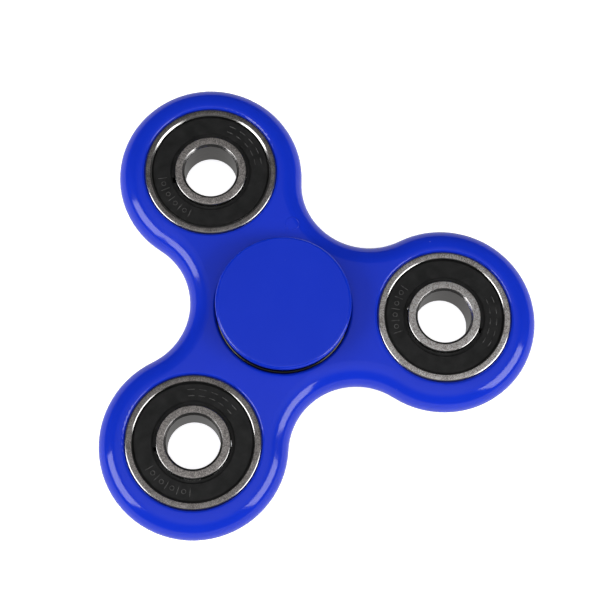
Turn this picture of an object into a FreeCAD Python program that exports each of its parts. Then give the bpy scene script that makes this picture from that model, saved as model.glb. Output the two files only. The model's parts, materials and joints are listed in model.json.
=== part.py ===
import FreeCAD, Part
import Sketcher
import math
import os

# A three-lobed fidget spinner. The plastic frame carries four 608-size sealed ball bearings: one in
# the middle, held by its inner race between two finger caps, and one in each lobe as a weight.
# The origin is the middle of the central bearing and +Z is the spin axis. All sizes are millimetres.

SIZES = {
    # ball bearing, size 608
    "bore_radius": 4.0,
    "bearing_radius": 11.0,
    "half_width": 3.5,
    "pitch_radius": 7.5,
    "ball_radius": 1.9845,
    "raceway_radius": 2.03,
    "inner_land_radius": 6.0,
    "outer_land_radius": 8.95,
    "bore_chamfer": 0.6,
    "inner_chamfer": 0.2,
    "outer_chamfer": 0.4,
    # seal seat in the outer race
    "seat_floor": 2.4,
    "seat_radius": 9.95,
    "seat_ceiling": 2.85,
    "mouth_radius": 9.72,
    "mouth_floor": 3.0,
    "mouth_edge": 3.12,
    "mouth_bevel_radius": 10.05,
    # rubber seal
    "seal_bottom": 2.45,
    "seal_top": 3.15,
    "seal_radius": 9.9,
    "seal_rim_top": 2.8,
    "seal_neck_radius": 9.64,
    "seal_neck_top": 2.95,
    "seal_face_outer": 9.4,
    "seal_face_inner": 6.75,
    "seal_lip_shoulder": 6.5,
    "seal_lip_top": 2.85,
    "seal_lip_radius": 6.1,
    "vent_width": 0.9,
    "vent_reach": 6.45,
    # ribbon cage
    "strip_thickness": 0.26,
    "cage_inner_radius": 6.8,
    "cage_outer_radius": 8.2,
    "cage_pocket_radius": 2.05,
    "cage_bulge_radius": 2.31,
    "rivet_hole_radius": 0.36,
    "rivet_radius": 0.35,
    "rivet_head_radius": 0.6,
    "rivet_head_top": 0.46,
    # frame
    "lobe_distance": 26.35,
    "lobe_radius": 15.25,
    "neck_radius": 11.1,
    "frame_thickness": 7.2,
    "edge_fillet": 3.5,
    "pocket_fillet": 0.45,
    # finger caps
    "cap_radius": 11.0,
    "cap_top": 7.1,
    "cap_bottom": 5.75,
    "cap_top_fillet": 0.45,
    "cap_bottom_fillet": 0.2,
    "boss_radius": 5.6,
    "stem_end": 0.15,
    "stem_chamfer": 0.3,
    "stem_hollow_radius": 2.7,
    "stem_hollow_top": 4.2,
    "stem_slot_width": 0.9,
    "stem_slot_top": 3.0,
}
FULL_TURN = 360
BALL_COUNT = 7
LOBE_NAMES = ("lobe_a", "lobe_b", "lobe_c")
LOBE_COUNT = len(LOBE_NAMES)
# How far each lobe's bearing was turned when it was pressed in, in degrees.
LOBE_BEARING_TURNS = (341.0, 197.0, 194.0)

doc = FreeCAD.newDocument("fidget_spinner")
sheet = doc.addObject("Spreadsheet::Sheet", "Sizes")
for row, (alias, number) in enumerate(SIZES.items(), start=1):
    sheet.set("A%d" % row, alias)
    sheet.set("B%d" % row, "%g" % number)
    sheet.setAlias("B%d" % row, alias)
doc.recompute()

ORIGIN = FreeCAD.Vector(0, 0, 0)
Z_AXIS = FreeCAD.Vector(0, 0, 1)
X_AXIS = FreeCAD.Vector(1, 0, 0)
UPSIDE_DOWN = FreeCAD.Placement(ORIGIN, FreeCAD.Rotation(X_AXIS, 180))
sub_parts = []


def amount(terms):
    """The number that a sum of sheet names such as 'seal_top - seal_bottom' stands for."""
    total = 0.0
    sign = 1.0
    for word in terms.split():
        if word == "+":
            sign = 1.0
        elif word == "-":
            sign = -1.0
        elif word != "0":
            total += sign * float(sheet.get(word))
    return total


def formula(terms):
    """The same sum as a spreadsheet expression."""
    words = []
    for word in terms.split():
        words.append(word if word in ("+", "-", "0") else "Sizes." + word)
    return " ".join(words)


def on_ray(distance, degrees):
    """The point at a distance from the origin and an angle from the X axis."""
    angle = math.radians(degrees)
    return FreeCAD.Vector(distance * math.cos(angle), distance * math.sin(angle), 0)


def opposite(terms):
    """The sum with every sign turned round."""
    words = terms.split()
    if words[0] not in ("+", "-"):
        words.insert(0, "+")
    swap = {"+": "-", "-": "+"}
    return " ".join(swap.get(word, word) for word in words)


def mirrored(corners):
    """The corners of the other half of a profile that is symmetric above and below."""
    return [(across, opposite(up)) for across, up in reversed(corners)]


def new_body(label):
    body = doc.addObject("PartDesign::Body", label)
    body.Label = label
    sub_parts.append(body)
    return body


def new_sketch(body, role):
    """An empty sketch on one of the body's own origin planes."""
    sketch = body.newObject("Sketcher::SketchObject", body.Name + "_sketch")
    plane = [item for item in body.Origin.OriginFeatures if item.Role == role][0]
    sketch.AttachmentSupport = [(plane, "")]
    sketch.MapMode = "FlatFace"
    return sketch


def pin_coordinate(sketch, kind, geometry, point, terms):
    """Hold one coordinate of a sketch point at a sum of sheet values."""
    if amount(terms) == 0:
        axis = -2 if kind == "DistanceX" else -1
        sketch.addConstraint(Sketcher.Constraint("PointOnObject", geometry, point, axis))
        return
    row = sketch.addConstraint(Sketcher.Constraint(kind, -1, 1, geometry, point, amount(terms)))
    sketch.setExpression("Constraints[%d]" % row, formula(terms))


def add_polygon(sketch, corners):
    """Straight lines through the corners, each corner held by the sheet."""
    places = [FreeCAD.Vector(amount(across), amount(up), 0) for across, up in corners]
    lines = []
    for here, there in zip(places, places[1:] + places[:1]):
        lines.append(sketch.addGeometry(Part.LineSegment(here, there)))
    for line, following in zip(lines, lines[1:] + lines[:1]):
        sketch.addConstraint(Sketcher.Constraint("Coincident", line, 2, following, 1))
    for line, (across, up) in zip(lines, corners):
        pin_coordinate(sketch, "DistanceX", line, 1, across)
        pin_coordinate(sketch, "DistanceY", line, 1, up)


def add_circle(sketch, across, up, radius):
    centre = FreeCAD.Vector(amount(across), amount(up), 0)
    circle = sketch.addGeometry(Part.Circle(centre, Z_AXIS, amount(radius)))
    pin_coordinate(sketch, "DistanceX", circle, 3, across)
    pin_coordinate(sketch, "DistanceY", circle, 3, up)
    row = sketch.addConstraint(Sketcher.Constraint("Radius", circle, amount(radius)))
    sketch.setExpression("Constraints[%d]" % row, formula(radius))


def add_circle_on_ray(sketch, distance, degrees, radius):
    """A circle at an angle round the origin, with its distance and radius held by the sheet."""
    centre = on_ray(amount(distance), degrees)
    circle = sketch.addGeometry(Part.Circle(centre, Z_AXIS, amount(radius)))
    ray = sketch.addGeometry(Part.LineSegment(ORIGIN, centre), True)
    sketch.addConstraint(Sketcher.Constraint("Coincident", ray, 1, -1, 1))
    sketch.addConstraint(Sketcher.Constraint("Coincident", ray, 2, circle, 3))
    sketch.addConstraint(Sketcher.Constraint("Angle", -1, 1, ray, 1, math.radians(degrees)))
    for kind, geometry, terms in (("Distance", ray, distance), ("Radius", circle, radius)):
        row = sketch.addConstraint(Sketcher.Constraint(kind, geometry, amount(terms)))
        sketch.setExpression("Constraints[%d]" % row, formula(terms))


def revolve(body, sketch):
    """Turn the profile once round the body's Z axis."""
    feature = body.newObject("PartDesign::Revolution", body.Name + "_turned")
    feature.Profile = sketch
    feature.ReferenceAxis = (sketch, ["V_Axis"])
    feature.Angle = FULL_TURN
    doc.recompute()
    return feature


def groove(body, sketch):
    """Cut the profile away all round the body's Z axis."""
    feature = body.newObject("PartDesign::Groove", body.Name + "_groove")
    feature.Profile = sketch
    feature.ReferenceAxis = (sketch, ["V_Axis"])
    feature.Angle = FULL_TURN
    doc.recompute()


def extrude(body, kind, sketch, length, symmetric=False, backwards=False):
    """A pad or a pocket of a length held by the sheet."""
    feature = body.newObject("PartDesign::" + kind, body.Name + "_" + kind.lower())
    feature.Profile = sketch
    feature.SideType = "Symmetric" if symmetric else "One side"
    feature.Reversed = backwards
    feature.Length = amount(length)
    feature.setExpression("Length", formula(length))
    doc.recompute()
    return feature


def polar_pattern(body, features, count):
    """Repeat features evenly round the body's Z axis."""
    axis = [item for item in body.Origin.OriginFeatures if item.Role == "Z_Axis"][0]
    pattern = body.newObject("PartDesign::PolarPattern", body.Name + "_pattern")
    pattern.Originals = features
    pattern.Axis = (axis, [""])
    pattern.Angle = FULL_TURN
    pattern.Occurrences = count
    body.Tip = pattern
    doc.recompute()
    return pattern


def round_edges(body, base, radius, wanted):
    """Fillet the edges of a feature that the test picks out."""
    names = ["Edge%d" % number for number, edge in enumerate(base.Shape.Edges, start=1) if wanted(edge)]
    feature = body.newObject("PartDesign::Fillet", body.Name + "_fillet")
    feature.Base = (base, names)
    feature.Radius = amount(radius)
    feature.setExpression("Radius", formula(radius))
    doc.recompute()
    return feature


def lies_at(edge, height):
    """Whether a whole edge lies at one height."""
    return abs(edge.BoundBox.ZMin - height) < 1e-4 and abs(edge.BoundBox.ZMax - height) < 1e-4


def is_circle(edge, radius):
    """Whether an edge is an arc of a circle of this radius."""
    return isinstance(edge.Curve, Part.Circle) and abs(edge.Curve.Radius - radius) < 1e-4


# ---------------------------------------------------------------------------------------------------
# Ball bearing
# ---------------------------------------------------------------------------------------------------

def cut_raceway(body):
    """The ball groove, the same circle round the pitch circle in both races."""
    sketch = new_sketch(body, "XZ_Plane")
    add_circle(sketch, "pitch_radius", "0", "raceway_radius")
    groove(body, sketch)


def make_inner_race(label):
    """A turned ring with a chamfered bore, small face chamfers and the ball groove outside."""
    body = new_body(label)
    sketch = new_sketch(body, "XZ_Plane")
    upper = [
        ("bore_radius", "half_width - bore_chamfer"),
        ("bore_radius + bore_chamfer", "half_width"),
        ("inner_land_radius - inner_chamfer", "half_width"),
        ("inner_land_radius", "half_width - inner_chamfer"),
    ]
    add_polygon(sketch, upper + mirrored(upper))
    revolve(body, sketch)
    cut_raceway(body)
    return body


def make_outer_race(label):
    """A turned ring with a stepped seat for the seal at each end and the ball groove inside."""
    body = new_body(label)
    sketch = new_sketch(body, "XZ_Plane")
    upper = [
        ("outer_land_radius", "seat_floor"),
        ("seat_radius", "seat_floor"),
        ("seat_radius", "seat_ceiling"),
        ("mouth_radius", "mouth_floor"),
        ("mouth_radius", "mouth_edge"),
        ("mouth_bevel_radius", "half_width"),
        ("bearing_radius - outer_chamfer", "half_width"),
        ("bearing_radius", "half_width - outer_chamfer"),
    ]
    add_polygon(sketch, upper + mirrored(upper))
    revolve(body, sketch)
    cut_raceway(body)
    return body


def make_seal(label):
    """A moulded rubber ring: a rim that snaps in the seat, a raised face, a thin lip with one vent."""
    body = new_body(label)
    sketch = new_sketch(body, "XZ_Plane")
    add_polygon(sketch, [
        ("seal_lip_radius", "seal_bottom"),
        ("seal_radius", "seal_bottom"),
        ("seal_radius", "seal_rim_top"),
        ("seal_neck_radius", "seal_neck_top"),
        ("seal_face_outer", "seal_top"),
        ("seal_face_inner", "seal_top"),
        ("seal_lip_shoulder", "seal_lip_top"),
        ("seal_lip_radius", "seal_lip_top"),
    ])
    revolve(body, sketch)
    vent = new_sketch(body, "XZ_Plane")
    add_polygon(vent, [
        ("0", "0"),
        ("vent_reach", "0"),
        ("vent_reach", "half_width"),
        ("0", "half_width"),
    ])
    extrude(body, "Pocket", vent, "vent_width", symmetric=True)
    return body


def add_cage_sphere(body, kind, radius):
    """A sphere round the first ball's centre, added to the cage or cut from it."""
    sphere = body.newObject(kind, body.Name + "_sphere")
    sphere.Radius = amount(radius)
    sphere.setExpression("Radius", formula(radius))
    sphere.Placement.Base = FreeCAD.Vector(amount("pitch_radius"), 0, 0)
    sphere.setExpression("Placement.Base.x", formula("pitch_radius"))
    doc.recompute()
    return sphere


def make_cage_half(label):
    """Half of a pressed ribbon cage: a flat strip with a hollow bulge over each ball."""
    body = new_body(label)
    strip = new_sketch(body, "XZ_Plane")
    add_polygon(strip, [
        ("cage_inner_radius", "0"),
        ("cage_outer_radius", "0"),
        ("cage_outer_radius", "strip_thickness"),
        ("cage_inner_radius", "strip_thickness"),
    ])
    revolve(body, strip)

    bulge = add_cage_sphere(body, "PartDesign::AdditiveSphere", "cage_bulge_radius")
    polar_pattern(body, [bulge], BALL_COUNT)

    trim = new_sketch(body, "XZ_Plane")
    add_polygon(trim, [
        ("cage_outer_radius", "- bearing_radius"),
        ("bearing_radius", "- bearing_radius"),
        ("bearing_radius", "bearing_radius"),
        ("cage_outer_radius", "bearing_radius"),
    ])
    groove(body, trim)
    core = new_sketch(body, "XZ_Plane")
    add_polygon(core, [
        ("0", "- bearing_radius"),
        ("cage_inner_radius", "- bearing_radius"),
        ("cage_inner_radius", "bearing_radius"),
        ("0", "bearing_radius"),
    ])
    groove(body, core)

    pocket = add_cage_sphere(body, "PartDesign::SubtractiveSphere", "cage_pocket_radius")
    polar_pattern(body, [pocket], BALL_COUNT)

    below = new_sketch(body, "XZ_Plane")
    add_polygon(below, [
        ("0", "- bearing_radius"),
        ("bearing_radius", "- bearing_radius"),
        ("bearing_radius", "0"),
        ("0", "0"),
    ])
    groove(body, below)

    holes = new_sketch(body, "XY_Plane")
    add_circle_on_ray(holes, "pitch_radius", FULL_TURN / BALL_COUNT / 2, "rivet_hole_radius")
    hole = extrude(body, "Pocket", holes, "half_width", symmetric=True)
    polar_pattern(body, [hole], BALL_COUNT)
    return body


def make_rivets(label):
    """The rivets that hold the two cage halves together, one midway between each pair of balls."""
    radius = amount("rivet_radius")
    head_radius = amount("rivet_head_radius")
    head_floor = amount("strip_thickness")
    head_top = amount("rivet_head_top")
    outline = [
        (0, head_top),
        (radius, head_top),
        (head_radius, head_floor),
        (radius, head_floor),
        (radius, -head_floor),
        (head_radius, -head_floor),
        (radius, -head_top),
        (0, -head_top),
    ]
    corners = [FreeCAD.Vector(across, 0, up) for across, up in outline]
    wire = Part.makePolygon(corners + corners[:1])
    rivet = Part.Face(wire).revolve(ORIGIN, Z_AXIS, FULL_TURN)
    rivet.translate(FreeCAD.Vector(amount("pitch_radius"), 0, 0))
    copies = []
    for number in range(BALL_COUNT):
        copy = rivet.copy()
        copy.rotate(ORIGIN, Z_AXIS, (number + 0.5) * FULL_TURN / BALL_COUNT)
        copies.append(copy)
    feature = doc.addObject("Part::Feature", label)
    feature.Label = label
    feature.Shape = Part.makeCompound(copies)
    sub_parts.append(feature)
    return feature


def make_ball(label):
    ball = doc.addObject("Part::Sphere", label)
    ball.Label = label
    ball.Radius = amount("ball_radius")
    ball.setExpression("Radius", formula("ball_radius"))
    sub_parts.append(ball)
    return ball


def make_bearing(name, centre, turn):
    """One complete bearing. The balls stand at even steps from the angle it was pressed in at."""
    upright = FreeCAD.Placement(centre, FreeCAD.Rotation(Z_AXIS, turn))
    inverted = upright.multiply(UPSIDE_DOWN)
    make_outer_race(name + "_outer_race").Placement = upright
    make_inner_race(name + "_inner_race").Placement = upright
    make_cage_half(name + "_cage_upper").Placement = upright
    make_cage_half(name + "_cage_lower").Placement = inverted
    make_rivets(name + "_cage_rivets").Placement = upright
    make_seal(name + "_seal_upper").Placement = upright
    make_seal(name + "_seal_lower").Placement = inverted
    for number in range(BALL_COUNT):
        place = on_ray(amount("pitch_radius"), number * FULL_TURN / BALL_COUNT)
        ball = make_ball("%s_ball_%d" % (name, number + 1))
        ball.Placement = upright.multiply(FreeCAD.Placement(place, FreeCAD.Rotation()))


# ---------------------------------------------------------------------------------------------------
# Frame
# ---------------------------------------------------------------------------------------------------

def add_outline(sketch):
    """Three lobe arcs joined by three hollow neck arcs. The lobe and the neck centres stand at the
    same distance from the middle, 60 degrees apart, so every pair of neighbouring arcs is tangent."""
    distance = amount("lobe_distance")
    step = FULL_TURN / (2 * LOBE_COUNT)
    for number in range(2 * LOBE_COUNT):
        centre = on_ray(distance, step * number)
        to_last = on_ray(distance, step * (number - 1)) - centre
        to_next = on_ray(distance, step * (number + 1)) - centre
        is_lobe = number % 2 == 0
        radius = "lobe_radius" if is_lobe else "neck_radius"
        start, end = (to_last, to_next) if is_lobe else (to_next, to_last)
        first = math.atan2(start.y, start.x)
        last = math.atan2(end.y, end.x)
        if last < first:
            last += 2 * math.pi
        circle = Part.Circle(centre, Z_AXIS, amount(radius))
        arc = sketch.addGeometry(Part.ArcOfCircle(circle, first, last))
        row = sketch.addConstraint(Sketcher.Constraint("Radius", arc, amount(radius)))
        sketch.setExpression("Constraints[%d]" % row, formula(radius))


def make_frame():
    """A moulded three-lobed plate with fully rounded edges and four pockets for the bearings."""
    body = new_body("frame")
    outline = new_sketch(body, "XY_Plane")
    add_outline(outline)
    plate = extrude(body, "Pad", outline, "frame_thickness", symmetric=True)
    top = amount("frame_thickness") / 2
    round_edges(
        body, plate, "edge_fillet",
        lambda edge: lies_at(edge, top) or lies_at(edge, -top),
    )

    middle = new_sketch(body, "XY_Plane")
    add_circle(middle, "0", "0", "bearing_radius")
    extrude(body, "Pocket", middle, "lobe_radius", symmetric=True)
    lobe = new_sketch(body, "XY_Plane")
    add_circle(lobe, "lobe_distance", "0", "bearing_radius")
    hole = extrude(body, "Pocket", lobe, "lobe_radius", symmetric=True)
    holes = polar_pattern(body, [hole], LOBE_COUNT)
    round_edges(
        body, holes, "pocket_fillet",
        lambda edge: is_circle(edge, amount("bearing_radius")) and (lies_at(edge, top) or lies_at(edge, -top)),
    )


# ---------------------------------------------------------------------------------------------------
# Finger caps
# ---------------------------------------------------------------------------------------------------

def make_cap(label):
    """A round finger pad on a hollow slotted stem that is a push fit in the central inner race."""
    body = new_body(label)
    sketch = new_sketch(body, "XZ_Plane")
    add_polygon(sketch, [
        ("stem_hollow_radius", "stem_end"),
        ("bore_radius - stem_chamfer", "stem_end"),
        ("bore_radius", "stem_end + stem_chamfer"),
        ("bore_radius", "half_width"),
        ("boss_radius", "half_width"),
        ("boss_radius", "cap_bottom"),
        ("cap_radius", "cap_bottom"),
        ("cap_radius", "cap_top"),
        ("0", "cap_top"),
        ("0", "stem_hollow_top"),
        ("stem_hollow_radius", "stem_hollow_top"),
    ])
    pad = revolve(body, sketch)
    top = amount("cap_top")
    bottom = amount("cap_bottom")
    rim = amount("cap_radius")
    softened = round_edges(
        body, pad, "cap_top_fillet",
        lambda edge: is_circle(edge, rim) and lies_at(edge, top),
    )
    round_edges(
        body, softened, "cap_bottom_fillet",
        lambda edge: is_circle(edge, rim) and lies_at(edge, bottom),
    )
    for role in ("XZ_Plane", "YZ_Plane"):
        slot = new_sketch(body, role)
        add_polygon(slot, [
            ("- boss_radius", "0"),
            ("boss_radius", "0"),
            ("boss_radius", "stem_slot_top"),
            ("- boss_radius", "stem_slot_top"),
        ])
        extrude(body, "Pocket", slot, "stem_slot_width", symmetric=True)
    return body


def check_document():
    """Stop if any object failed or any sub-part has no sound shape."""
    doc.recompute()
    for item in doc.Objects:
        if "Invalid" in item.State or "Error" in item.State:
            raise RuntimeError("%s did not compute: %s" % (item.Label, item.State))
    for item in sub_parts:
        if item.Shape.isNull() or not item.Shape.isValid() or not item.Shape.Solids:
            raise RuntimeError("%s has no sound solid" % item.Label)


make_frame()
make_cap("cap_top")
make_cap("cap_bottom").Placement = UPSIDE_DOWN
make_bearing("center", ORIGIN, 0)
for number, (lobe_name, lobe_turn) in enumerate(zip(LOBE_NAMES, LOBE_BEARING_TURNS)):
    make_bearing(lobe_name, on_ray(amount("lobe_distance"), FULL_TURN / LOBE_COUNT * number), lobe_turn)

check_document()
os.makedirs("parts", exist_ok=True)
for item in sub_parts:
    item.Shape.exportStep("parts/%s.step" % item.Label)
    print("%-24s %9.2f mm3, %d solid(s)" % (item.Label, item.Shape.Volume, len(item.Shape.Solids)))
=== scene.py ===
import json
import math

import bmesh
import bpy
from mathutils import Matrix, Vector


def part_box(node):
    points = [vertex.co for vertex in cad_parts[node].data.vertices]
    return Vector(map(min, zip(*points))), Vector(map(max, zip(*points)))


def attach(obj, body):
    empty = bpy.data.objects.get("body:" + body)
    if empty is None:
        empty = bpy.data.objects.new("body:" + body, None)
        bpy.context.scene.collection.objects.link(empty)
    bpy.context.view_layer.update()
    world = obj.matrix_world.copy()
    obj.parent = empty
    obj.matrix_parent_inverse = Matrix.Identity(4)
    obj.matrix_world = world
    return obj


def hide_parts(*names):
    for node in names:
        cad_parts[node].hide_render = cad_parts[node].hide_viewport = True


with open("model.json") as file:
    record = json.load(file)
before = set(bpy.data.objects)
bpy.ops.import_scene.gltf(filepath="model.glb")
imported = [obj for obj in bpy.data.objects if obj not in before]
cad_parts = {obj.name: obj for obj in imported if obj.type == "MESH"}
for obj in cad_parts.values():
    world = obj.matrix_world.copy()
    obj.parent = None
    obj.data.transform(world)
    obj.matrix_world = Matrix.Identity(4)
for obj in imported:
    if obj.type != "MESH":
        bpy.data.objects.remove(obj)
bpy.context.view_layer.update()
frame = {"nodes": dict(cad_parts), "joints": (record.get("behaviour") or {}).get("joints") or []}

# A three-lobed fidget spinner: moulded blue frame, two satin finger caps and four sealed ball bearings.
# Lengths here are millimetres times MM, in the frame of the CAD model.

MM = 0.001
LOBES = ("lobe_a", "lobe_b", "lobe_c")
BEARINGS = ("center",) + LOBES
BALL_COUNT = 7

# Ball groove, the same as the CAD model's, in millimetres like the sizes below.
PITCH = 7.5
RACEWAY = 2.03
# Races. The bore is opened a little past the CAD model's 4 mm, as these bearings look.
HALF_WIDTH = 3.50
OUTER_RADIUS = 11.0
OUTER_LAND = 8.95
SEAT_RADIUS = 9.95
SEAT_FLOOR = 2.40
SEAT_CEILING = 2.85
MOUTH_RADIUS = 9.74
MOUTH_FLOOR = 3.00
INNER_LAND = 6.0
BORE_RADIUS = 4.34
BORE_CHAMFER = (0.38, 0.40)
# The bevel round the mouth of the outer race is wider on one of the bearings, which comes from another
# batch. The central bearing has sharper outer corners.
MOUTH_BEVELS = {"center": 0.14, "lobe_a": 0.14, "lobe_b": 0.29, "lobe_c": 0.14}
OUTER_CORNERS = {"center": 0.30, "lobe_a": 0.45, "lobe_b": 0.45, "lobe_c": 0.45}
BEVEL_SLOPE = 0.65
LATHE_STEPS = 192
CORNER_STEPS = 6
GROOVE_STEPS = 20

# Raised marks on the seals, in millimetres, with their steps round the bearing in degrees.
MARK_FLOOR = 3.15
MARK_MIDDLE = 8.05
MARK_WIDTH = 0.17
MARK_HEIGHT = 0.07
MARK_SINK = 0.02
MARK_COUNTS = (-2, -1, 0, 1, 2)
DASH_STEP = 13.0
DASH_OFFSETS = (-0.52, 0.52)
DASH_LEANS = (-4.2, -2.1, 0.0, 2.1, 4.2)
BAR_STEP = 14.0
BAR_REACHES = (-0.75, -0.4, 0.0, 0.4, 0.75)
DOT_RADIUS = 0.34
DOT_STEPS = 16
DOT_WIDTH = MARK_WIDTH * 0.8
MARK_SPREAD = {
    "center": (0.0, 180.0),
    "lobe_a": (357.0, 174.0),
    "lobe_b": (42.0, 220.0),
    "lobe_c": (70.0, 242.0),
}
RIDGE_STEPS = 6
RIDGE_TAPER = 0.35

# Parting line and ejector pin mark of the frame, in millimetres.
PARTING_WIDTH = 0.11
PARTING_HEIGHT = 0.03
LOBE_STEPS = 48
WAIST_STEPS = 24
PIN_PLACE = (0.8, 14.3)
PIN_RADIUS = 1.1
PIN_STEPS = 64
PIN_WIDTH = 0.16
PIN_HEIGHT = 0.035

FRAME_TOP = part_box("frame")[1].z
FLOOR_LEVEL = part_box("cap_bottom")[0].z

JOINT_PLACES = {joint["name"]: Vector(joint["pos_m"]) for joint in frame["joints"]}
CENTRES = {name: JOINT_PLACES[name + "_cage_orbit"] for name in BEARINGS}


# ---------------------------------------------------------------------------------------------------
# Mesh helpers
# ---------------------------------------------------------------------------------------------------

def new_piece(name, shape, body):
    """Turn a bmesh into a smooth-shaded piece that rides on a body."""
    mesh = bpy.data.meshes.new(name)
    shape.to_mesh(mesh)
    shape.free()
    mesh.polygons.foreach_set("use_smooth", [True] * len(mesh.polygons))
    piece = bpy.data.objects.new(name, mesh)
    bpy.context.scene.collection.objects.link(piece)
    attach(piece, body)
    return piece


def rounded_corner(before, corner, after, radius):
    """The points of an arc that rounds one corner of a profile."""
    back = (before - corner).normalized()
    ahead = (after - corner).normalized()
    half = back.angle(ahead) / 2
    reach = radius / math.tan(half)
    middle = corner + (back + ahead).normalized() * radius / math.sin(half)
    start = corner + back * reach - middle
    sweep = start.angle_signed(corner + ahead * reach - middle)
    points = []
    for step in range(CORNER_STEPS + 1):
        points.append(middle + Matrix.Rotation(-sweep * step / CORNER_STEPS, 2) @ start)
    return points


def groove_points(land, outward):
    """The ball groove's arc between its two edges on the land, from the top edge to the bottom one."""
    half = math.acos(abs(land - PITCH) / RACEWAY)
    points = []
    for step in range(1, GROOVE_STEPS):
        angle = half - 2 * half * step / GROOVE_STEPS
        across = PITCH + outward * RACEWAY * math.cos(angle)
        points.append(Vector((across, RACEWAY * math.sin(angle))))
    return points


def section(half_profile, outward):
    """The closed section of a race, from its upper half as radius, height and corner radius, outward from the
    land. The lower half mirrors it. The ball groove lies outside (1) or inside (-1) the pitch circle."""
    land = half_profile[0][0]
    edge = math.sqrt(RACEWAY ** 2 - (land - PITCH) ** 2)
    upper = [(land, edge, 0.0)] + list(half_profile)
    lower = [(across, -up, radius) for across, up, radius in reversed(upper)]
    corners = upper + lower
    points = []
    for number, (across, up, radius) in enumerate(corners):
        corner = Vector((across, up))
        if radius == 0.0:
            points.append(corner)
            continue
        before = Vector(corners[number - 1][:2])
        after = Vector(corners[number + 1][:2])
        points.extend(rounded_corner(before, corner, after, radius))
    return points + list(reversed(groove_points(land, outward)))


def lathe(points, centre):
    """Turn a closed section once round a vertical axis."""
    shape = bmesh.new()
    rings = []
    for step in range(LATHE_STEPS):
        angle = math.tau * step / LATHE_STEPS
        spoke = Vector((math.cos(angle), math.sin(angle), 0.0))
        ring = [centre + (spoke * point.x + Vector((0, 0, point.y))) * MM for point in points]
        rings.append([shape.verts.new(place) for place in ring])
    for here, there in zip(rings, rings[1:] + rings[:1]):
        for number in range(len(points)):
            last = number - 1
            shape.faces.new((here[last], there[last], there[number], here[number]))
    bmesh.ops.recalc_face_normals(shape, faces=shape.faces)
    return shape


def outer_profile(bearing):
    """The upper half of an outer race's section, with the bevel at its mouth."""
    bevel = MOUTH_BEVELS[bearing]
    return (
        (OUTER_LAND, SEAT_FLOOR, 0.05),
        (SEAT_RADIUS, SEAT_FLOOR, 0.05),
        (SEAT_RADIUS, SEAT_CEILING, 0.08),
        (MOUTH_RADIUS, MOUTH_FLOOR, 0.05),
        (MOUTH_RADIUS, HALF_WIDTH - bevel * BEVEL_SLOPE, 0.04),
        (MOUTH_RADIUS + bevel, HALF_WIDTH, 0.05),
        (OUTER_RADIUS, HALF_WIDTH, OUTER_CORNERS[bearing]),
    )


def inner_profile():
    """The upper half of an inner race's section, with the chamfer round its bore."""
    across, down = BORE_CHAMFER
    return (
        (INNER_LAND, HALF_WIDTH, 0.24),
        (BORE_RADIUS + across, HALF_WIDTH, 0.10),
        (BORE_RADIUS, HALF_WIDTH - down, 0.12),
    )


def make_race(bearing, part, profile, outward, body):
    """A turned race with softly rounded corners, in place of the CAD node."""
    node = "%s_%s_race" % (bearing, part)
    shape = lathe(section(profile, outward), CENTRES[bearing])
    piece = new_piece(node + "_turned", shape, body)
    even = piece.modifiers.new("even_normals", "WEIGHTED_NORMAL")
    even.weight = 100
    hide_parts(node)
    return piece


def add_ridge(shape, path, normals, width, height, closed=False):
    """A low rounded ridge along a path, standing up along the normals. Its ends taper to nothing."""
    sections = []
    count = len(path)
    for number, (point, normal) in enumerate(zip(path, normals)):
        ahead = path[(number + 1) % count] if closed or number + 1 < count else point
        behind = path[number - 1] if closed or number else point
        across = normal.cross((ahead - behind).normalized())
        taper = RIDGE_TAPER if not closed and number in (0, count - 1) else 1.0
        row = []
        for step in range(RIDGE_STEPS + 1):
            angle = math.pi * step / RIDGE_STEPS
            side = across * (math.cos(angle) * width / 2 * taper)
            rise = normal * (math.sin(angle) * (height + MARK_SINK) * taper - MARK_SINK)
            row.append(shape.verts.new((point + side + rise) * MM))
        sections.append(row)
    following = sections[1:] + sections[:1] if closed else sections[1:]
    for here, there in zip(sections, following):
        for number in range(RIDGE_STEPS):
            shape.faces.new((here[number], here[number + 1], there[number + 1], there[number]))
    if not closed:
        shape.faces.new(sections[0])
        shape.faces.new(list(reversed(sections[-1])))


def spot(centre, radius, degrees, level):
    """A point in millimetres at a radius and angle round a bearing."""
    angle = math.radians(degrees)
    return centre / MM + Vector((radius * math.cos(angle), radius * math.sin(angle), level))


def make_marks(bearing, side, level):
    """Plain raised marks moulded in two opposite arcs of a seal: paired dashes on one side, and bars with
    rings between them on the other."""
    shape = bmesh.new()
    up = Vector((0, 0, math.copysign(1.0, level)))
    centre = CENTRES[bearing]
    first, second = MARK_SPREAD[bearing]
    for step in MARK_COUNTS:
        middle = first + step * DASH_STEP
        for offset in DASH_OFFSETS:
            path = [spot(centre, MARK_MIDDLE + offset, middle + lean, level) for lean in DASH_LEANS]
            add_ridge(shape, path, [up] * len(path), MARK_WIDTH, MARK_HEIGHT)
    for step in MARK_COUNTS:
        middle = second + step * BAR_STEP
        path = [spot(centre, MARK_MIDDLE + reach, middle, level) for reach in BAR_REACHES]
        add_ridge(shape, path, [up] * len(path), MARK_WIDTH, MARK_HEIGHT)
        if step < MARK_COUNTS[-1]:
            dot = spot(centre, MARK_MIDDLE, middle + BAR_STEP / 2, level)
            turns = [math.tau * part / DOT_STEPS for part in range(DOT_STEPS)]
            ring = [dot + Vector((math.cos(turn), math.sin(turn), 0)) * DOT_RADIUS for turn in turns]
            add_ridge(shape, ring, [up] * len(ring), DOT_WIDTH, MARK_HEIGHT, closed=True)
    bmesh.ops.recalc_face_normals(shape, faces=shape.faces)
    return new_piece("%s_seal_%s_marks" % (bearing, side), shape, "frame_body")


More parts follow.
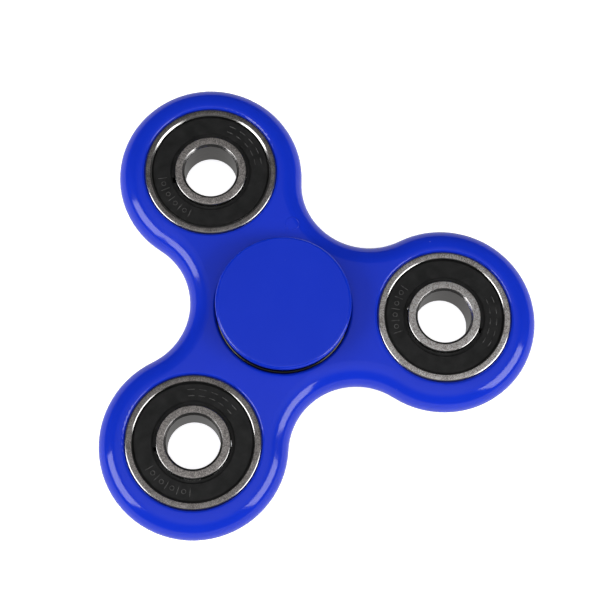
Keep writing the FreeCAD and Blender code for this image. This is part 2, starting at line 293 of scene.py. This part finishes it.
def make_parting_line():
    """The hairline ridge where the two halves of the mould met, round the middle of the frame's edge."""
    distance = CENTRES["lobe_a"].x / MM
    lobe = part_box("frame")[1].x / MM - distance
    path = []
    normals = []
    for number in range(6):
        heading = math.radians(60 * number)
        centre = Vector((math.cos(heading), math.sin(heading), 0)) * distance
        is_lobe = number % 2 == 0
        radius = lobe if is_lobe else distance - lobe
        middle = heading if is_lobe else heading + math.pi
        reach = math.radians(120) if is_lobe else math.radians(-60)
        steps = LOBE_STEPS if is_lobe else WAIST_STEPS
        for step in range(steps):
            angle = middle + reach * (2 * step / steps - 1)
            spoke = Vector((math.cos(angle), math.sin(angle), 0))
            path.append(centre + spoke * radius)
            normals.append(spoke if is_lobe else -spoke)
    shape = bmesh.new()
    add_ridge(shape, path, normals, PARTING_WIDTH, PARTING_HEIGHT, closed=True)
    bmesh.ops.recalc_face_normals(shape, faces=shape.faces)
    return new_piece("frame_parting_line", shape, "frame_body")


def make_witness(name, place, radius, level):
    """The faint raised circle that an ejector pin leaves on a moulding."""
    shape = bmesh.new()
    up = Vector((0, 0, math.copysign(1.0, level)))
    ring = []
    for step in range(PIN_STEPS):
        turn = math.tau * step / PIN_STEPS
        ring.append(Vector((place[0] + radius * math.cos(turn), place[1] + radius * math.sin(turn), level)))
    add_ridge(shape, ring, [up] * len(ring), PIN_WIDTH, PIN_HEIGHT, closed=True)
    bmesh.ops.recalc_face_normals(shape, faces=shape.faces)
    return new_piece(name, shape, "frame_body")


# ---------------------------------------------------------------------------------------------------
# Shader helpers
# ---------------------------------------------------------------------------------------------------

def new_node(tree, kind, inputs=None, **settings):
    """A shader node. Inputs are keyed by name or number, and hold a plain value or another socket."""
    node = tree.nodes.new(kind)
    for name, value in settings.items():
        setattr(node, name, value)
    for key, value in (inputs or {}).items():
        if isinstance(value, bpy.types.NodeSocket):
            tree.links.new(value, node.inputs[key])
        else:
            node.inputs[key].default_value = value
    return node


def calc(tree, operation, *values, clamp=False):
    """One Math node's result."""
    inputs = dict(enumerate(values))
    return new_node(tree, "ShaderNodeMath", inputs, operation=operation, use_clamp=clamp).outputs[0]


def tinted(colour, level):
    """A colour made lighter or darker by a factor."""
    return tuple(channel * level for channel in colour) + (1.0,)


def blend_colours(tree, factor, first, second):
    """A Mix node between two colours."""
    node = new_node(tree, "ShaderNodeMix", data_type="RGBA")
    for key, value in ((0, factor), (6, first), (7, second)):
        if isinstance(value, bpy.types.NodeSocket):
            tree.links.new(value, node.inputs[key])
        else:
            node.inputs[key].default_value = value
    return node.outputs[2]


def ramp(tree, value, low, high, to_low=0.0, to_high=1.0):
    """A value stretched from one range to another, clamped at both ends."""
    inputs = {0: value, 1: low, 2: high, 3: to_low, 4: to_high}
    return new_node(tree, "ShaderNodeMapRange", inputs, clamp=True).outputs[0]


def noise(tree, vector, scale, detail=3.0, roughness=0.5):
    inputs = {"Vector": vector, "Scale": scale, "Detail": detail, "Roughness": roughness}
    return new_node(tree, "ShaderNodeTexNoise", inputs).outputs[0]


def bump(tree, height, distance, strength=1.0, normal=None):
    inputs = {"Height": height, "Distance": distance, "Strength": strength}
    if normal is not None:
        inputs["Normal"] = normal
    return new_node(tree, "ShaderNodeBump", inputs).outputs[0]


def new_material(name):
    """An empty material with its Principled shader and its Object coordinates."""
    material = bpy.data.materials.new(name)
    material.use_nodes = True
    tree = material.node_tree
    tree.nodes.clear()
    shader = new_node(tree, "ShaderNodeBsdfPrincipled")
    output = new_node(tree, "ShaderNodeOutputMaterial")
    tree.links.new(shader.outputs[0], output.inputs["Surface"])
    place = new_node(tree, "ShaderNodeTexCoord").outputs["Object"]
    return material, tree, shader, place


def from_centre(tree, place, centre):
    """Coordinates in millimetres from a bearing's centre."""
    shifted = new_node(tree, "ShaderNodeVectorMath", {0: place, 1: centre}, operation="SUBTRACT").outputs[0]
    inputs = {"Vector": shifted, "Scale": 1 / MM}
    return new_node(tree, "ShaderNodeVectorMath", inputs, operation="SCALE").outputs[0]


def polar(tree, local):
    """Radius, angle in radians and height round a bearing's axis, from coordinates off its centre."""
    across, along, height = new_node(tree, "ShaderNodeSeparateXYZ", {0: local}).outputs
    square = calc(tree, "ADD", calc(tree, "MULTIPLY", across, across), calc(tree, "MULTIPLY", along, along))
    return calc(tree, "SQRT", square), calc(tree, "ARCTAN2", along, across), height


def scratches(tree, place, scale, stretch, threshold):
    """Sparse fine lines: noise stretched along one direction, kept only near its crests."""
    lines = None
    for turn in (0.4, 1.7, 2.6):
        turned = new_node(
            tree, "ShaderNodeVectorRotate", {"Vector": place, "Angle": turn}, rotation_type="Z_AXIS"
        ).outputs[0]
        stretched = new_node(
            tree, "ShaderNodeMapping", {"Vector": turned, "Scale": (scale, scale * stretch, scale)}
        ).outputs[0]
        strip = ramp(tree, noise(tree, stretched, 1.0, detail=1.0), threshold, threshold + 0.04)
        lines = strip if lines is None else calc(tree, "MAXIMUM", lines, strip)
    return lines


def specks(tree, place, scale, radius):
    """Sparse dust specks: small discs round the points of a cell pattern, most of them left out."""
    cells = new_node(tree, "ShaderNodeTexVoronoi", {"Vector": place, "Scale": scale})
    disc = ramp(tree, cells.outputs["Distance"], radius * 0.5, radius, 1.0, 0.0)
    pick = new_node(tree, "ShaderNodeSeparateColor", {0: cells.outputs["Color"]}).outputs[0]
    return calc(tree, "MULTIPLY", disc, ramp(tree, pick, 0.90, 0.91))


# ---------------------------------------------------------------------------------------------------
# Materials
# ---------------------------------------------------------------------------------------------------

def make_frame_plastic():
    """Glossy moulded blue ABS: faint flow mottling, orange peel, a few hairline scratches and dust."""
    material, tree, shader, place = new_material("frame_plastic_gloss")
    flow = noise(tree, place, 90.0, detail=2.0)
    grain = noise(tree, place, 1800.0, detail=4.0, roughness=0.6)
    marks = scratches(tree, place, 30.0, 70.0, 0.80)
    dust_and_sheen = specks(tree, place, 420.0, 0.06)
    mottled = blend_colours(tree, flow, FRAME_BLUE_DEEP, FRAME_BLUE_LIGHT)
    scuffed = blend_colours(tree, calc(tree, "MULTIPLY", marks, 0.03), mottled, (0.25, 0.30, 0.70, 1))
    dusty = blend_colours(tree, calc(tree, "MULTIPLY", dust_and_sheen, 0.16), scuffed, (0.50, 0.52, 0.60, 1))
    tree.links.new(dusty, shader.inputs["Base Color"])
    smudge = ramp(tree, noise(tree, place, 140.0, detail=4.0), 0.3, 0.7, 0.085, 0.13)
    rough = calc(tree, "ADD", smudge, calc(tree, "MULTIPLY", grain, 0.04))
    rough = calc(tree, "ADD", rough, calc(tree, "MULTIPLY", marks, 0.08))
    tree.links.new(rough, shader.inputs["Roughness"])
    peel = bump(tree, noise(tree, place, 500.0, detail=2.0), 0.003 * MM, 0.5)
    fine = bump(tree, grain, 0.0010 * MM, 0.5, peel)
    final = bump(tree, marks, 0.002 * MM, -0.4, fine)
    tree.links.new(final, shader.inputs["Normal"])
    shader.inputs["IOR"].default_value = 1.47
    return material


def make_cap_plastic():
    """Satin moulded blue ABS with the fine even grain of a spark-eroded mould and faint finger wear."""
    material, tree, shader, place = new_material("cap_plastic_satin")
    flow = noise(tree, place, 110.0, detail=3.0)
    grain = noise(tree, place, 5200.0, detail=3.0, roughness=0.65)
    marks = scratches(tree, place, 50.0, 60.0, 0.80)
    dust_and_sheen = specks(tree, place, 700.0, 0.05)
    mottled = blend_colours(tree, flow, CAP_BLUE_DEEP, CAP_BLUE_LIGHT)
    scuffed = blend_colours(tree, calc(tree, "MULTIPLY", marks, 0.03), mottled, (0.22, 0.28, 0.65, 1))
    dusty = blend_colours(tree, calc(tree, "MULTIPLY", dust_and_sheen, 0.10), scuffed, (0.50, 0.52, 0.60, 1))
    tree.links.new(dusty, shader.inputs["Base Color"])
    worn = ramp(tree, noise(tree, place, 220.0, detail=5.0), 0.35, 0.65, 0.26, 0.34)
    rough = calc(tree, "ADD", worn, calc(tree, "MULTIPLY", grain, 0.06))
    radius = polar(tree, from_centre(tree, place, CENTRES["center"]))[0]
    rim = ramp(tree, radius, 10.45, 10.75)
    rough = calc(tree, "SUBTRACT", rough, calc(tree, "MULTIPLY", rim, 0.16))
    tree.links.new(rough, shader.inputs["Roughness"])
    tree.links.new(ramp(tree, rim, 0.0, 1.0, 0.32, 0.60), shader.inputs["Specular IOR Level"])
    textured = bump(tree, grain, 0.003 * MM, 0.5)
    final = bump(tree, marks, 0.002 * MM, -0.4, textured)
    tree.links.new(final, shader.inputs["Normal"])
    shader.inputs["IOR"].default_value = 1.47
    return material


def make_race_steel(bearing):
    """Bearing steel. The flat ends are ground and tumbled to a sparkling grain, the bore is a dull grind
    painted dark as shade inside it, and the chamfers and lands are smoother, so the chamfers flash where they
    face a light. The faces and chamfers of each bearing are painted lighter or darker with the light and
    shade that fall on it, the central bearing dark as shade under the cap."""
    material, tree, shader, place = new_material(bearing + "_race_steel")
    local = from_centre(tree, place, CENTRES[bearing])
    radius, angle, height = polar(tree, local)
    grain = noise(tree, local, 6.5, detail=3.0, roughness=0.75)
    stain = noise(tree, local, 0.8, detail=4.0, roughness=0.55)
    sparkle = new_node(tree, "ShaderNodeTexVoronoi", {"Vector": local, "Scale": 8.0}).outputs["Color"]
    glint = new_node(tree, "ShaderNodeSeparateColor", {0: sparkle}).outputs[0]
    wound = {
        0: calc(tree, "MULTIPLY", radius, 14.0),
        1: calc(tree, "MULTIPLY", angle, 1.5),
        2: calc(tree, "MULTIPLY", height, 14.0),
    }
    winding = new_node(tree, "ShaderNodeCombineXYZ", wound).outputs[0]
    lines = noise(tree, winding, 1.0, detail=3.0, roughness=0.6)

    # Where the surface is a flat end, and where it is the bore.
    facing = new_node(tree, "ShaderNodeNewGeometry").outputs["Normal"]
    tilt = calc(tree, "ABSOLUTE", new_node(tree, "ShaderNodeSeparateXYZ", {0: facing}).outputs[2])
    ground = ramp(tree, tilt, 0.93, 0.99)
    near_bore = ramp(tree, radius, BORE_RADIUS + 0.02, BORE_RADIUS + 0.08, 1.0, 0.0)
    inside = calc(tree, "MULTIPLY", near_bore, ramp(tree, tilt, 0.2, 0.3, 1.0, 0.0))

    # The grain of the flat ends, painted lighter or darker with the light and shade that fall on this
    # bearing.
    speck = calc(tree, "ADD", calc(tree, "MULTIPLY", grain, 0.6), calc(tree, "MULTIPLY", stain, 0.2))
    speck = calc(tree, "ADD", speck, calc(tree, "MULTIPLY", glint, 0.2))
    sparkling = blend_colours(tree, ramp(tree, speck, 0.40, 0.62), FACE_DARK, FACE_LIGHT)
    # Painted light and shade: the face colour is scaled per bearing by how the light falls on it, and the
    # central bearing is painted dark as shade under the cap.
    painted_light_and_shade = ramp(tree, radius, 7.4, 7.6, INNER_FACE_LIGHT_AND_SHADE[bearing], OUTER_FACE_LIGHT_AND_SHADE[bearing])
    scaling = {"Vector": sparkling, "Scale": painted_light_and_shade}
    face_with_painted_light = new_node(tree, "ShaderNodeVectorMath", scaling, operation="SCALE").outputs[0]
    face = new_node(tree, "ShaderNodeVectorMath", {0: face_with_painted_light, 1: (1, 1, 1)}, operation="MINIMUM").outputs[0]

    # The turned surfaces. Their chamfers are painted lighter or darker with this bearing's light and shade,
    # and the bore is painted dark as shade inside it.
    chamfer_painted_light = CHAMFER_LIGHT_AND_SHADE[bearing]
    bare = blend_colours(tree, lines, tinted(TURNED_DARK, chamfer_painted_light), tinted(TURNED_LIGHT, chamfer_painted_light))
    # Painted shade: the bore is coloured darker than its steel, as shade inside it.
    dull_and_shaded_bore = blend_colours(tree, ramp(tree, lines, 0.35, 0.65), BORE_SHADED_DARK, BORE_SHADED_LIGHT)
    smooth = blend_colours(tree, inside, bare, dull_and_shaded_bore)
    tree.links.new(blend_colours(tree, ground, smooth, face), shader.inputs["Base Color"])

    polish = FACE_POLISH[bearing]
    face_rough = ramp(tree, grain, 0.3, 0.7, 0.30 - 0.2 * polish, 0.50 - 0.3 * polish)
    turned_rough = ramp(tree, lines, 0.3, 0.7, 0.16, 0.24)
    bare_rough = calc(tree, "ADD", turned_rough, calc(tree, "MULTIPLY", inside, 0.25))
    step_up = calc(tree, "MULTIPLY", ground, calc(tree, "SUBTRACT", face_rough, bare_rough))
    tree.links.new(calc(tree, "ADD", step_up, bare_rough), shader.inputs["Roughness"])
    pitted = bump(tree, calc(tree, "MULTIPLY", speck, ground), 0.03 * MM, 0.5 * (1 - polish))
    tree.links.new(bump(tree, lines, 0.002 * MM, 0.4, pitted), shader.inputs["Normal"])
    shader.inputs["Metallic"].default_value = 1.0
    return material


def make_ball_steel():
    """Polished chrome steel with the faintest haze from running."""
    material, tree, shader, place = new_material("ball_steel_polished")
    haze = noise(tree, place, 900.0, detail=3.0)
    tree.links.new(
        blend_colours(tree, haze, (0.62, 0.62, 0.63, 1), (0.72, 0.72, 0.73, 1)), shader.inputs["Base Color"]
    )
    tree.links.new(ramp(tree, haze, 0.3, 0.7, 0.05, 0.12), shader.inputs["Roughness"])
    tree.links.new(bump(tree, haze, 0.0006 * MM, 0.3), shader.inputs["Normal"])
    shader.inputs["Metallic"].default_value = 1.0
    return material


def make_cage_steel():
    """Pressed sheet steel: drawn, slightly uneven and duller than the balls."""
    material, tree, shader, place = new_material("cage_steel_pressed")
    mottle = noise(tree, place, 1500.0, detail=4.0, roughness=0.6)
    tree.links.new(
        blend_colours(tree, mottle, (0.38, 0.36, 0.33, 1), (0.58, 0.56, 0.52, 1)), shader.inputs["Base Color"]
    )
    tree.links.new(ramp(tree, mottle, 0.3, 0.7, 0.28, 0.42), shader.inputs["Roughness"])
    tree.links.new(bump(tree, mottle, 0.006 * MM, 0.5), shader.inputs["Normal"])
    shader.inputs["Metallic"].default_value = 1.0
    return material


def make_seal_rubber(bearing):
    """Black nitrile rubber: matt, finely grained by its mould, with grey bloom and a little lint."""
    material, tree, shader, place = new_material(bearing + "_seal_rubber")
    local = from_centre(tree, place, CENTRES[bearing])
    grain = noise(tree, local, 14.0, detail=4.0, roughness=0.65)
    bloom = noise(tree, local, 0.55, detail=4.0, roughness=0.6)
    lint = specks(tree, local, 0.9, 0.05)
    plain = blend_colours(tree, ramp(tree, bloom, 0.35, 0.7), RUBBER_BLACK, RUBBER_GREY)
    dusty = blend_colours(tree, calc(tree, "MULTIPLY", lint, 0.3), plain, (0.20, 0.20, 0.20, 1))
    tree.links.new(dusty, shader.inputs["Base Color"])
    tree.links.new(ramp(tree, grain, 0.3, 0.7, 0.42, 0.56), shader.inputs["Roughness"])
    tree.links.new(bump(tree, grain, 0.008 * MM, 0.5), shader.inputs["Normal"])
    shader.inputs["IOR"].default_value = 1.45
    shader.inputs["Specular IOR Level"].default_value = 0.3
    return material


def make_mark_rubber():
    """The same rubber on the raised marks: handling has polished them smoother, and they are painted a
    lighter, mottled grey than the seal round them, a painted sheen.
    """
    material, tree, shader, place = new_material("seal_mark_rubber")
    grain = noise(tree, place, 9000.0, detail=3.0, roughness=0.6)
    dust_and_sheen = noise(tree, place, 1600.0, detail=4.0, roughness=0.6)
    # Painted sheen: the marks are coloured a lighter grey than the seal round them.
    tree.links.new(
        blend_colours(tree, ramp(tree, dust_and_sheen, 0.35, 0.65), (0.018, 0.018, 0.018, 1), (0.075, 0.074, 0.072, 1)),
        shader.inputs["Base Color"],
    )
    tree.links.new(ramp(tree, grain, 0.3, 0.7, 0.30, 0.42), shader.inputs["Roughness"])
    tree.links.new(bump(tree, grain, 0.004 * MM, 0.5), shader.inputs["Normal"])
    shader.inputs["IOR"].default_value = 1.5
    return material


def paint(piece, material):
    """Every face of the piece takes one material."""
    piece.data.materials.clear()
    piece.data.materials.append(material)


# ---------------------------------------------------------------------------------------------------
# Stage
# ---------------------------------------------------------------------------------------------------

def make_disc(name, radius, level):
    mesh = bpy.data.meshes.new(name)
    shape = bmesh.new()
    bmesh.ops.create_circle(shape, cap_ends=True, segments=96, radius=radius)
    shape.to_mesh(mesh)
    shape.free()
    disc = bpy.data.objects.new(name, mesh)
    disc.location.z = level
    bpy.context.scene.collection.objects.link(disc)
    return disc


def make_floor():
    """A wide pale disc, luminous like a light table, so shadows stay soft and pale. A dimmer twin stands
    in for it in reflections, which keeps the glossy edges deep in colour."""
    floor = make_disc("floor", FLOOR_RADIUS, FLOOR_LEVEL)
    floor.visible_glossy = False
    material, tree, shader, place = new_material("floor_pale")
    shade = noise(tree, place, 3.0, detail=2.0)
    tree.links.new(
        blend_colours(tree, shade, (0.84, 0.84, 0.84, 1), (0.86, 0.86, 0.86, 1)), shader.inputs["Base Color"]
    )
    shader.inputs["Roughness"].default_value = 0.9
    shader.inputs["Emission Color"].default_value = (1, 1, 1, 1)
    shader.inputs["Emission Strength"].default_value = FLOOR_GLOW
    floor.data.materials.append(material)

    mirrored = make_disc("floor_in_reflections", FLOOR_RADIUS, FLOOR_LEVEL - MM)
    mirrored.visible_camera = False
    mirrored.visible_diffuse = False
    mirrored.visible_shadow = False
    mirrored.data.materials.append(make_glow("floor_dim", FLOOR_REFLECTED))


def make_glow(name, strength):
    """A plain white glow, faintly uneven."""
    material = bpy.data.materials.new(name)
    material.use_nodes = True
    tree = material.node_tree
    tree.nodes.clear()
    place = new_node(tree, "ShaderNodeTexCoord").outputs["Object"]
    shade = blend_colours(tree, noise(tree, place, 2.0), (0.97, 0.97, 0.97, 1), (1.0, 1.0, 1.0, 1))
    glow = new_node(tree, "ShaderNodeEmission", {0: shade, 1: strength})
    output = new_node(tree, "ShaderNodeOutputMaterial")
    tree.links.new(glow.outputs[0], output.inputs["Surface"])
    return material


def make_backdrop():
    """A pale dome behind everything that only the camera sees."""
    mesh = bpy.data.meshes.new("backdrop")
    shape = bmesh.new()
    bmesh.ops.create_uvsphere(shape, u_segments=64, v_segments=32, radius=FLOOR_RADIUS * 0.98)
    shape.to_mesh(mesh)
    shape.free()
    dome = bpy.data.objects.new("backdrop", mesh)
    bpy.context.scene.collection.objects.link(dome)
    dome.visible_diffuse = False
    dome.visible_glossy = False
    dome.visible_transmission = False
    dome.visible_shadow = False
    dome.data.materials.append(make_glow("backdrop_pale", BACKDROP_GLOW))


def make_world():
    """A dark room that is lighter overhead, towards the front."""
    world = bpy.data.worlds.new("room")
    world.use_nodes = True
    tree = world.node_tree
    tree.nodes.clear()
    up = new_node(tree, "ShaderNodeTexCoord").outputs["Generated"]
    inputs = {0: up, 1: OVERHEAD_MIDDLE}
    towards = new_node(tree, "ShaderNodeVectorMath", inputs, operation="DOT_PRODUCT").outputs[1]
    shade = ramp(tree, towards, 0.78, 0.97, HORIZON_LIGHT, OVERHEAD_LIGHT)
    colour = new_node(tree, "ShaderNodeCombineColor", {0: shade, 1: shade, 2: shade}).outputs[0]
    background = new_node(tree, "ShaderNodeBackground", {0: colour, 1: 1.0})
    output = new_node(tree, "ShaderNodeOutputWorld")
    tree.links.new(background.outputs[0], output.inputs["Surface"])
    bpy.context.scene.world = world


def aim(thing, place, target, roll=0.0):
    """Stand a camera or a light somewhere and point it at a target."""
    turn = (target - place).to_track_quat("-Z", "Y").to_matrix().to_4x4()
    thing.matrix_world = Matrix.Translation(place) @ turn @ Matrix.Rotation(roll, 4, "Z")


def direction(azimuth, elevation):
    """The unit vector at an azimuth from +X and an elevation above the floor, in degrees."""
    turn = math.radians(azimuth)
    rise = math.radians(elevation)
    return Vector((math.cos(turn) * math.cos(rise), math.sin(turn) * math.cos(rise), math.sin(rise)))


def make_softbox(name, azimuth, elevation, distance, width, height, radiance):
    """A rectangular soft light that faces the object, with its brightness given as radiance."""
    light = bpy.data.lights.new(name, "AREA")
    light.shape = "RECTANGLE"
    light.size = width
    light.size_y = height
    light.energy = radiance * math.pi * width * height
    lamp = bpy.data.objects.new(name, light)
    bpy.context.scene.collection.objects.link(lamp)
    aim(lamp, direction(azimuth, elevation) * distance, Vector())
    return lamp


def make_camera():
    camera = bpy.data.objects.new("camera", bpy.data.cameras.new("camera"))
    camera.data.sensor_width = SENSOR_WIDTH
    camera.data.lens = LENS
    camera.data.clip_start = 0.01
    bpy.context.scene.collection.objects.link(camera)
    aim(camera, CAMERA_PLACE, CAMERA_TARGET, CAMERA_ROLL)
    bpy.context.scene.camera = camera


# How polished each bearing's ground faces are, and the painted light and shade of each bearing: how light its
# ground faces and how bright its bare chamfers are painted by the light that falls on it, with the central
# bearing painted dark as shade under the cap.
OUTER_FACE_LIGHT_AND_SHADE = {"center": 0.09, "lobe_a": 1.30, "lobe_b": 0.60, "lobe_c": 0.68}
INNER_FACE_LIGHT_AND_SHADE = {"center": 0.30, "lobe_a": 1.45, "lobe_b": 0.98, "lobe_c": 0.85}
CHAMFER_LIGHT_AND_SHADE = {"center": 0.10, "lobe_a": 1.0, "lobe_b": 0.9, "lobe_c": 0.8}
FACE_POLISH = {"center": 0.9, "lobe_a": 0.0, "lobe_b": 0.1, "lobe_c": 0.1}
FLOOR_RADIUS = 4.0
FLOOR_GLOW = 0.80
FLOOR_REFLECTED = 0.70
BACKDROP_GLOW = 0.96
HORIZON_LIGHT = 0.05
OVERHEAD_LIGHT = 0.50
OVERHEAD_MIDDLE = Vector((0.0, -0.20, 0.98))
SENSOR_WIDTH = 36.0
LENS = 99.13
CAMERA_PLACE = Vector((-2.13, -69.50, 262.95)) * MM
CAMERA_TARGET = Vector((2.757, 2.341, 0.0)) * MM
CAMERA_ROLL = math.radians(6.794)
FACE_DARK = (0.32, 0.295, 0.285, 1)
FACE_LIGHT = (0.96, 0.90, 0.87, 1)
TURNED_DARK = (0.42, 0.41, 0.41)
TURNED_LIGHT = (0.60, 0.59, 0.58)
# The bore's colours: its dull grind darkened as painted shade inside the bore.
BORE_SHADED_DARK = (0.055, 0.052, 0.050, 1)
BORE_SHADED_LIGHT = (0.130, 0.125, 0.120, 1)
RUBBER_BLACK = (0.0070, 0.0072, 0.0072, 1)
RUBBER_GREY = (0.0150, 0.0150, 0.0150, 1)
FRAME_BLUE_DEEP = (0.0042, 0.0265, 0.50, 1)
FRAME_BLUE_LIGHT = (0.0052, 0.0305, 0.56, 1)
CAP_BLUE_DEEP = (0.0010, 0.0235, 0.48, 1)
CAP_BLUE_LIGHT = (0.0016, 0.0275, 0.53, 1)

bpy.context.scene.view_settings.view_transform = "Standard"
make_floor()
make_backdrop()
make_world()
make_softbox("softbox_left", 202.0, 32.0, 0.60, 0.38, 0.32, 5.0)
make_softbox("softbox_right", -21.0, 32.0, 0.60, 0.38, 0.32, 5.0)
for name, azimuth, elevation, size, radiance in (
    ("fill_front", -90.0, 76.0, 1.0, 0.98),
    ("fill_left", 185.0, 24.0, 0.8, 0.72),
    ("fill_right", -5.0, 24.0, 0.8, 0.72),
):
    make_softbox(name, azimuth, elevation, 0.90, size, size, radiance).visible_glossy = False
make_camera()

frame_plastic = make_frame_plastic()
cap_plastic = make_cap_plastic()
ball_steel = make_ball_steel()
cage_steel = make_cage_steel()
mark_rubber = make_mark_rubber()
paint(frame["nodes"]["frame"], frame_plastic)
paint(make_parting_line(), frame_plastic)
paint(make_witness("frame_pin_mark", PIN_PLACE, PIN_RADIUS, FRAME_TOP / MM), frame_plastic)
paint(frame["nodes"]["cap_top"], cap_plastic)
paint(frame["nodes"]["cap_bottom"], cap_plastic)
for bearing in BEARINGS:
    race_steel = make_race_steel(bearing)
    seal_rubber = make_seal_rubber(bearing)
    hub_side = "hub" if bearing == "center" else bearing + "_inner_body"
    paint(make_race(bearing, "outer", outer_profile(bearing), 1, "frame_body"), race_steel)
    paint(make_race(bearing, "inner", inner_profile(), -1, hub_side), race_steel)
    for side, level in (("upper", MARK_FLOOR), ("lower", -MARK_FLOOR)):
        paint(make_marks(bearing, side, level), mark_rubber)
    for part in ("_seal_upper", "_seal_lower"):
        paint(frame["nodes"][bearing + part], seal_rubber)
    for part in ("_cage_upper", "_cage_lower", "_cage_rivets"):
        paint(frame["nodes"][bearing + part], cage_steel)
    for number in range(BALL_COUNT):
        paint(frame["nodes"]["%s_ball_%d" % (bearing, number + 1)], ball_steel)
